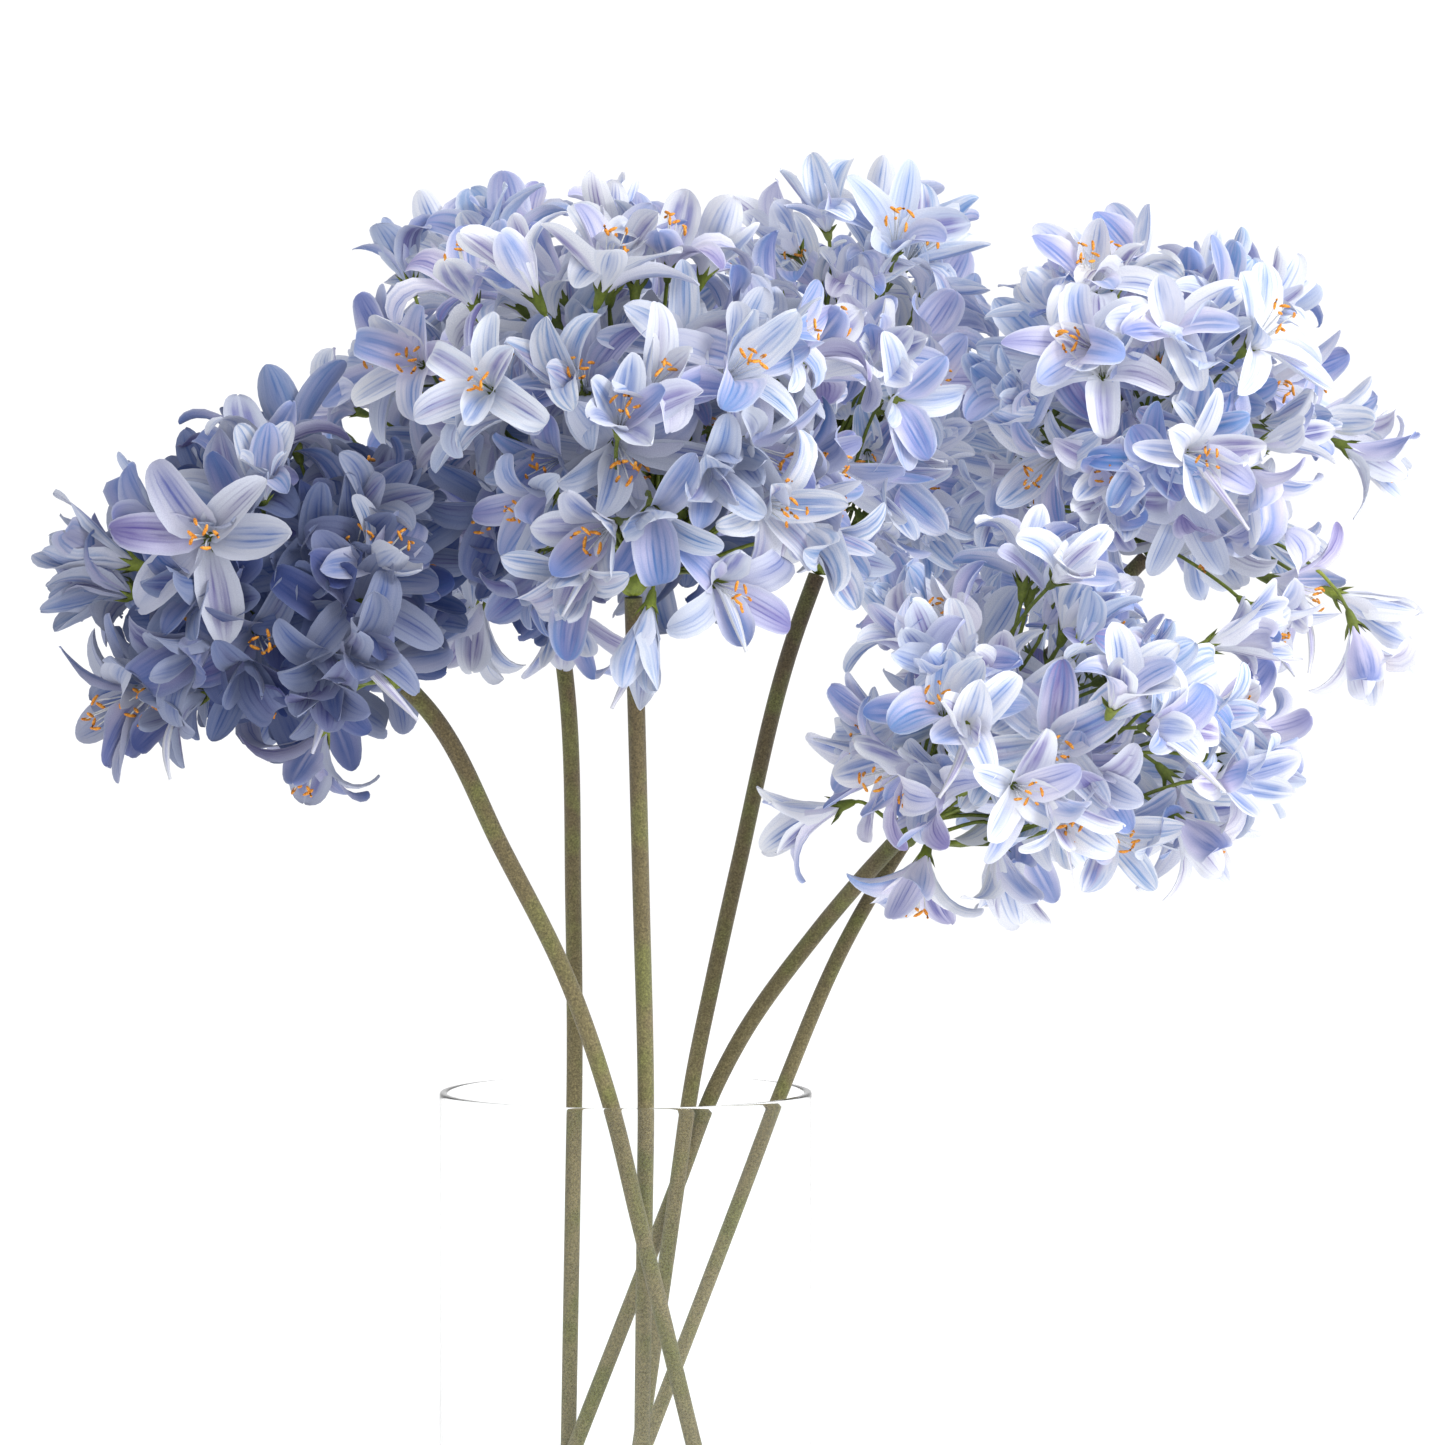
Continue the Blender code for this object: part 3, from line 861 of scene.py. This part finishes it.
# Streaked dye: soft darker lines along the tepal, its veins, tips, blotches and pale margin, as masks.
streaks, streaks_in, streaks_out = new_group(
    "streaked dye", "ShaderNodeTree", {"Cloth": "Vector", "Own": "Color"},
    {mask: "Float" for mask in ("Midline", "Veins", "Tips", "Blotches", "Margin")},
)
dye_sum = partial(maths, streaks)
cloth = add_node(streaks, "ShaderNodeSeparateXYZ", Vector=streaks_in.outputs["Cloth"])
cloth_x = cloth.outputs["X"]
cloth_y = cloth.outputs["Y"]
own = add_node(streaks, "ShaderNodeSeparateColor", Color=streaks_in.outputs["Own"])
shifted = add_node(
    streaks, "ShaderNodeCombineXYZ", X=dye_sum("MULTIPLY", cloth_x, 9.0),
    Y=dye_sum("MULTIPLY", cloth_y, 1.6), Z=dye_sum("MULTIPLY", own.outputs["Red"], 40.0),
)
long_noise = add_node(streaks, "ShaderNodeTexNoise", Vector=shifted.outputs["Vector"], Scale=1.0, Detail=3.0)
long_noise = long_noise.outputs["Fac"]
wander = dye_sum("MULTIPLY", dye_sum("SUBTRACT", long_noise, 0.5), 0.22)
off_middle = dye_sum("ABSOLUTE", dye_sum("SUBTRACT", cloth_x, 0.5))


def mask_from(value, start, width):
    """0 up to the start, rising to 1 over the width."""
    return dye_sum("DIVIDE", dye_sum("SUBTRACT", value, start), width, clamp=True)


# The streak runs beside the middle of the tepal, breaks up into threads and fades at both ends.
beside = dye_sum("MULTIPLY", own.outputs["Green"], 0.17)
line_away = dye_sum("ABSOLUTE", dye_sum("SUBTRACT", dye_sum("ADD", off_middle, wander), beside))
line_mask = dye_sum("SUBTRACT", 1.0, dye_sum("DIVIDE", line_away, 0.20), clamp=True)
threads = dye_sum("ADD", 0.55, dye_sum("MULTIPLY", long_noise, 0.9))
rise_in = mask_from(cloth_y, 0.15, 0.40)
fade_out = dye_sum("DIVIDE", dye_sum("SUBTRACT", 1.0, cloth_y), 0.22, clamp=True)
midline = dye_sum("MULTIPLY", dye_sum("MULTIPLY", line_mask, rise_in), fade_out)
# The veins are seven fine lines that show only in patches.
vein_turn = dye_sum("MULTIPLY", dye_sum("ADD", cloth_x, dye_sum("MULTIPLY", wander, 0.35)), 44.0)
vein_crest = mask_from(dye_sum("COSINE", vein_turn), 0.1, 0.8)
vein_band = dye_sum("SUBTRACT", 1.0, dye_sum("DIVIDE", off_middle, 0.42), clamp=True)
veins = dye_sum("MULTIPLY", dye_sum("MULTIPLY", vein_crest, mask_from(long_noise, 0.38, 0.24)), vein_band)
masks = {
    "Midline": dye_sum("MULTIPLY", midline, threads, clamp=True),
    "Veins": dye_sum("MULTIPLY", dye_sum("MULTIPLY", veins, rise_in), fade_out),
    "Tips": mask_from(dye_sum("ADD", cloth_y, wander), 0.55, 0.40),
    "Blotches": mask_from(long_noise, 0.45, 0.20),
    "Margin": mask_from(off_middle, 0.38, 0.12),
}
for label, mask in masks.items():
    streaks.links.new(mask, streaks_out.inputs[label])

fabric, fabric_shader = new_material(
    "dyed petal fabric with painted shade", (0.7, 0.78, 0.92), 0.72, Sheen_Weight=0.15, Sheen_Roughness=0.5,
    Specular_IOR_Level=0.25, Emission_Strength=CLOTH_GLOW,
)
tree = fabric.node_tree
cloth_sum = partial(maths, tree)
cloth_uv = add_node(tree, "ShaderNodeUVMap", {"uv_map": "cloth"}).outputs["UV"]
own = add_node(tree, "ShaderNodeAttribute", {"attribute_name": "tepal"}).outputs["Color"]
tone = add_node(tree, "ShaderNodeAttribute", {"attribute_name": "tone"})
own_parts = add_node(tree, "ShaderNodeSeparateColor", Color=own)
tone_parts = add_node(tree, "ShaderNodeSeparateColor", Color=tone.outputs["Color"])
dye = add_node(tree, "ShaderNodeGroup", {"node_tree": streaks}, Cloth=cloth_uv, Own=own)
ground = ramp(tree, tone_parts.outputs["Red"], ((0.0, (0.86, 0.865, 0.885)), (0.45, (0.83, 0.84, 0.875)),
                                                (0.80, (0.74, 0.775, 0.845)), (1.0, (0.52, 0.59, 0.76))))
lavender = ramp(tree, own_parts.outputs["Red"], ((0.45, (1.0, 1.0, 1.0)), (0.85, (0.93, 0.90, 0.99)),
                                                 (1.0, (0.82, 0.76, 0.97))))
ground = mix(tree, "MULTIPLY", 1.0, ground, lavender)
line_colour = ramp(tree, own_parts.outputs["Blue"], ((0.0, (0.17, 0.27, 0.58)), (0.5, (0.11, 0.22, 0.55)),
                                                     (0.7, (0.16, 0.12, 0.42)), (0.88, (0.10, 0.06, 0.30)),
                                                     (1.0, (0.03, 0.24, 0.60))))
line_strength = cloth_sum("ADD", 0.30, cloth_sum("MULTIPLY", own_parts.outputs["Green"], 0.55))
line_share = cloth_sum("MULTIPLY", dye.outputs["Midline"], line_strength)
lined = mix(tree, "MIX", line_share, ground, line_colour)
lined = mix(tree, "MIX", cloth_sum("MULTIPLY", dye.outputs["Veins"], 0.95), lined, line_colour)
few_tepals = cloth_sum("POWER", own_parts.outputs["Red"], 4.0)
tip_share = cloth_sum("MULTIPLY", dye.outputs["Tips"], cloth_sum("MULTIPLY", few_tepals, 0.9))
tipped = mix(tree, "MIX", tip_share, lined, line_colour)
few_florets = cloth_sum("POWER", tone_parts.outputs["Green"], 1.6)
blotch_share = cloth_sum("MULTIPLY", cloth_sum("MULTIPLY", dye.outputs["Blotches"], few_florets), 0.7)
blotched = mix(tree, "MIX", blotch_share, tipped, (0.14, 0.31, 0.60))
margin = mix(tree, "MIX", cloth_sum("MULTIPLY", dye.outputs["Margin"], 0.55), blotched, (0.86, 0.88, 0.93))
# The floret's shade multiplies the cloth towards the deep tint: the head's own dye, and painted shade inside
# the heads, low down and between the left heads.
shaded = mix(tree, "MULTIPLY", tone_parts.outputs["Blue"], margin, DYE_AND_PAINTED_SHADE)
weave_place = add_node(
    tree, "ShaderNodeVectorMath", {"operation": "MULTIPLY"}, i0=cloth_uv, i1=(*THREADS, 1.0)
)
weave = add_node(tree, "ShaderNodeTexNoise", Vector=weave_place.outputs["Vector"], Scale=1.0, Detail=1.0)
threads = ramp(tree, weave.outputs["Fac"], ((0.35, (0.84, 0.85, 0.88)), (0.65, (1.0, 1.0, 1.0))))
woven = mix(tree, "MULTIPLY", 1.0, shaded, threads)
tree.links.new(woven, fabric_shader.inputs["Base Color"])
tree.links.new(woven, fabric_shader.inputs["Emission Color"])
roughen(tree, fabric_shader, weave.outputs["Fac"], 0.45, 0.0003)

chance = random.Random(5)
openings = [LEAST_OPENING + OPENING_RANGE * i / (COROLLA_KINDS - 1) for i in range(COROLLA_KINDS)]
corolla_parts = collection_of("corolla", [
    corolla_mesh(100 + i, math.radians(opening), math.radians(chance.uniform(12, 62)))
    for i, opening in enumerate(openings)
])


def corolla_of(floret):
    """Which of the corolla shapes a floret has, from nearly shut to wide open."""
    return min(COROLLA_KINDS - 1, int(floret["kind"] * COROLLA_KINDS))


for name, head in HEADS.items():
    points = point_object(head["florets"], corolla_of)
    mesh = grown(points, plant_tree, {"Parts": corolla_parts, "Size": 1.0, "Finish": fabric})
    corollas = add_piece(f"corollas_{name}", mesh, fabric)
    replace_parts(corollas, *sorted(node for node in frame["nodes"] if node.startswith(f"spray_{name}_")))
clear_collection(corolla_parts)


# ---- Curled strips ----------------------------------------------------------------------------
# A few narrow strips of the same fabric, cut for the tepals of shrivelled florets. They hang out of
# the heads and curl.

STRIP_LENGTH = 0.058
STRIP_HALF_WIDTH = 0.0021
STRIP_STEPS = 16
STRIPS_PER_HEAD = 3


def strip_mesh(starts, seed):
    """Closed thin curled strips, one from each (place, heading)."""
    chance = random.Random(seed)
    shape = bmesh.new()
    uv_layer = shape.loops.layers.uv.new("cloth")
    tepal_layer = shape.loops.layers.float_color.new("tepal")
    for place, heading in starts:
        length = STRIP_LENGTH * chance.uniform(0.75, 1.15)
        curl = Vector((chance.uniform(-1, 1), chance.uniform(-0.6, 0.3), 0))
        turns = chance.uniform(1.6, 3.2)
        own = (chance.uniform(0.2, 0.7), chance.random(), chance.random(), chance.random())
        rings = []
        for k in range(STRIP_STEPS + 1):
            t = k / STRIP_STEPS
            side = heading.cross(Vector((0, 0, 1)) + curl * 0.2).normalized()
            side = Matrix.Rotation(1.9 * t * curl.x, 3, heading) @ side
            half = STRIP_HALF_WIDTH * (0.3 + 1.1 * math.sin(math.pi * min(0.96, t * 0.9 + 0.1)))
            thick = side.cross(heading).normalized() * TEPAL_THICKNESS / 2
            offsets = (-side * half, thick, side * half, -thick)
            rings.append((t, [shape.verts.new(place + offset) for offset in offsets]))
            pull = DROOP * 0.9 + curl * math.sin(turns * t)
            heading = (heading + pull * 2.4 / STRIP_STEPS).normalized()
            place = place + heading * length / STRIP_STEPS
        across = (0.0, 0.5, 1.0, 0.5, 0.0)
        for (t0, low), (t1, high) in zip(rings, rings[1:]):
            for i in range(4):
                j = (i + 1) % 4
                face = shape.faces.new((low[i], low[j], high[j], high[i]))
                corners = ((across[i], t0), (across[i + 1], t0), (across[i + 1], t1), (across[i], t1))
                for loop, uv in zip(face.loops, corners):
                    loop[uv_layer].uv = uv
                    loop[tepal_layer] = own
        for _, ring in (rings[0], rings[-1]):
            for loop in shape.faces.new(ring).loops:
                loop[tepal_layer] = own
    bmesh.ops.recalc_face_normals(shape, faces=shape.faces[:])
    return mesh_of(shape, "strips")


for number, (name, head) in enumerate(HEADS.items()):
    outermost = sorted(head["florets"], key=lambda floret: floret["base"].z + 1.2 * floret["base"].y)
    starts = [(floret["base"], floret["facing"]) for floret in outermost[:2 * STRIPS_PER_HEAD:2]]
    mesh = strip_mesh(starts, 500 + number)
    tone = mesh.attributes.new("tone", "FLOAT_COLOR", "POINT")
    for entry in tone.data:
        # The strips get their head's dye and painted shade, a little lighter.
        entry.color = (0.3, 0.1, head["shade"] * 0.6, 0.5)
    add_piece(f"curled_strips_{name}", mesh, fabric)


# ---- Stamens ----------------------------------------------------------------------------------
# Six pale moulded filaments rise from each throat. Every one carries an orange anther, hung
# crosswise on its tip.

STAMENS = 6
STAMEN_KINDS = 6
SHUT_BELOW = 0.3  # florets less open than this show no stamens
HIDDEN_BELOW = 0.35  # and neither does this share of the open ones
FILAMENT_RADIUS = 0.00042
ANTHER_LENGTH = 0.0062
ANTHER_RADIUS = 0.00095


def stamen_mesh(seed):
    """A tuft of filaments and anthers on Z. The part attribute is 0 on a filament and 1 on an anther."""
    chance = random.Random(seed)
    shape = bmesh.new()
    part = shape.loops.layers.float_color.new("part")

    def tube(places, radii, sides, value):
        """A closed tube through the places, with its part attribute set to the value."""
        rings = []
        for i, (place, radius) in enumerate(zip(places, radii)):
            along = (places[min(i + 1, len(places) - 1)] - places[max(i - 1, 0)]).normalized()
            side = along.orthogonal().normalized()
            up = along.cross(side)
            rings.append([shape.verts.new(place + (side * math.cos(a) + up * math.sin(a)) * radius)
                          for a in (2 * math.pi * k / sides for k in range(sides))])
        faces = [(*reversed(rings[0]),), (*rings[-1],)]
        for low, high in zip(rings, rings[1:]):
            faces += [(low[i], low[(i + 1) % sides], high[(i + 1) % sides], high[i]) for i in range(sides)]
        for corners in faces:
            for loop in shape.faces.new(corners).loops:
                loop[part] = (value, value, value, 1.0)

    for k in range(STAMENS):
        angle = 2 * math.pi * (k + chance.uniform(-0.3, 0.3)) / STAMENS
        outward = Vector((math.cos(angle), math.sin(angle), 0))
        length = chance.uniform(0.021, 0.032)
        spread = chance.uniform(0.04, 0.24)
        hook = chance.uniform(-0.2, 0.5)
        places = [Vector((0, 0, 0.002)) + outward * 0.0012 + outward * length * spread * t**1.5
                  + Vector((0, 0, 1)) * length * t * (1 - 0.15 * hook * t) for t in (0.0, 0.35, 0.7, 1.0)]
        tube(places, [FILAMENT_RADIUS] * 3 + [FILAMENT_RADIUS * 0.7], 4, 0.0)
        hang = (outward * chance.uniform(-1, 1) + outward.cross(Vector((0, 0, 1))) * chance.uniform(-1, 1)
                + Vector((0, 0, chance.uniform(-0.2, 1.1)))).normalized()
        middle = places[-1]
        anther = [middle + hang * ANTHER_LENGTH * (t - 0.5) + outward * 0.0006 * math.sin(math.pi * t)
                  for t in (0.0, 0.15, 0.5, 0.85, 1.0)]
        tube(anther, [ANTHER_RADIUS * w for w in (0.35, 0.85, 1.0, 0.8, 0.3)], 6, 1.0)
    mesh = mesh_of(shape, "stamens")
    mesh.shade_smooth()
    return mesh


pollen, pollen_shader = new_material(
    "filament and anther plastic", (0.8, 0.35, 0.06), 0.55, Specular_IOR_Level=0.3
)
tree = pollen.node_tree
which_part = add_node(tree, "ShaderNodeAttribute", {"attribute_name": "part"}).outputs["Fac"]
_, flock = grained(tree, 0.0016)
anther_colour = ramp(tree, flock.outputs["Speckle"], ((0.35, (0.50, 0.15, 0.012)), (0.5, (0.83, 0.31, 0.03)),
                                                      (0.68, (0.95, 0.52, 0.10))))
filament_colour = ramp(
    tree, flock.outputs["Speckle"], ((0.35, (0.60, 0.62, 0.62)), (0.65, (0.80, 0.81, 0.80)))
)
both = mix(tree, "MIX", which_part, filament_colour, anther_colour)
tree.links.new(both, pollen_shader.inputs["Base Color"])
roughen(tree, pollen_shader, flock.outputs["Speckle"], 0.4, 0.0002)

stamen_parts = collection_of("stamens", [stamen_mesh(300 + i) for i in range(STAMEN_KINDS)])
for name, head in HEADS.items():
    open_florets = [floret for floret in head["florets"]
                    if floret["kind"] > SHUT_BELOW and floret["tone"][3] > HIDDEN_BELOW]
    points = point_object(open_florets, lambda floret: int(floret["kind"] * 61) % STAMEN_KINDS)
    mesh = grown(points, plant_tree, {"Parts": stamen_parts, "Size": 1.0, "Finish": pollen})
    add_piece(f"stamens_{name}", mesh, pollen)
clear_collection(stamen_parts)


# ---- Studio -----------------------------------------------------------------------------------
# A plain white floor under soft even light from all round, with a gentle key from the upper right.
# The camera stands level in front of the bunch, at a height between the glass rim and the heads.

FLOOR_GLOW = 0.28
ROOM_LIGHT = 1.06
SHADE_CUT = 0.20  # taken off the light that falls on the pieces, while the background stays white
KEY_POWER = 28
KEY_TARGET = Vector((0.05, 0, 0.55))

floor_mesh = bpy.data.meshes.new("floor")
floor_mesh.from_pydata([(-6, -6, 0), (6, -6, 0), (6, 6, 0), (-6, 6, 0)], [], [(0, 1, 2, 3)])
floor = bpy.data.objects.new("floor", floor_mesh)
bpy.context.scene.collection.objects.link(floor)
white, _ = new_material(
    "white floor", (0.92, 0.92, 0.92), 0.8, Emission_Color=(1.0, 1.0, 1.0, 1.0),
    Emission_Strength=FLOOR_GLOW,
)
floor_mesh.materials.append(white)

world = bpy.data.worlds.new("soft white room")
bpy.context.scene.world = world
world.use_nodes = True
sky = world.node_tree.nodes["Background"]
rays = add_node(world.node_tree, "ShaderNodeLightPath").outputs["Is Diffuse Ray"]
lost = maths(world.node_tree, "MULTIPLY", rays, SHADE_CUT)
seen = maths(world.node_tree, "SUBTRACT", ROOM_LIGHT, lost)
world.node_tree.links.new(seen, sky.inputs["Strength"])
sky.inputs["Color"].default_value = (1.0, 1.0, 1.0, 1.0)

key_data = bpy.data.lights.new("key", "AREA")
key_data.energy = KEY_POWER
key_data.size = 1.0
key = bpy.data.objects.new("key", key_data)
key.location = (1.45, -1.25, 1.5)
key.rotation_euler = (KEY_TARGET - key.location).to_track_quat("-Z", "Y").to_euler()
bpy.context.scene.collection.objects.link(key)

camera_data = bpy.data.cameras.new("camera")
camera_data.lens = 100.09
camera_data.sensor_width = 36
camera = bpy.data.objects.new("camera", camera_data)
camera.location = (0.052, -2.16, 0.498)
camera.rotation_euler = (math.pi / 2, 0, 0)
bpy.context.scene.collection.objects.link(camera)
bpy.context.scene.camera = camera
bpy.context.scene.view_settings.view_transform = "Standard"
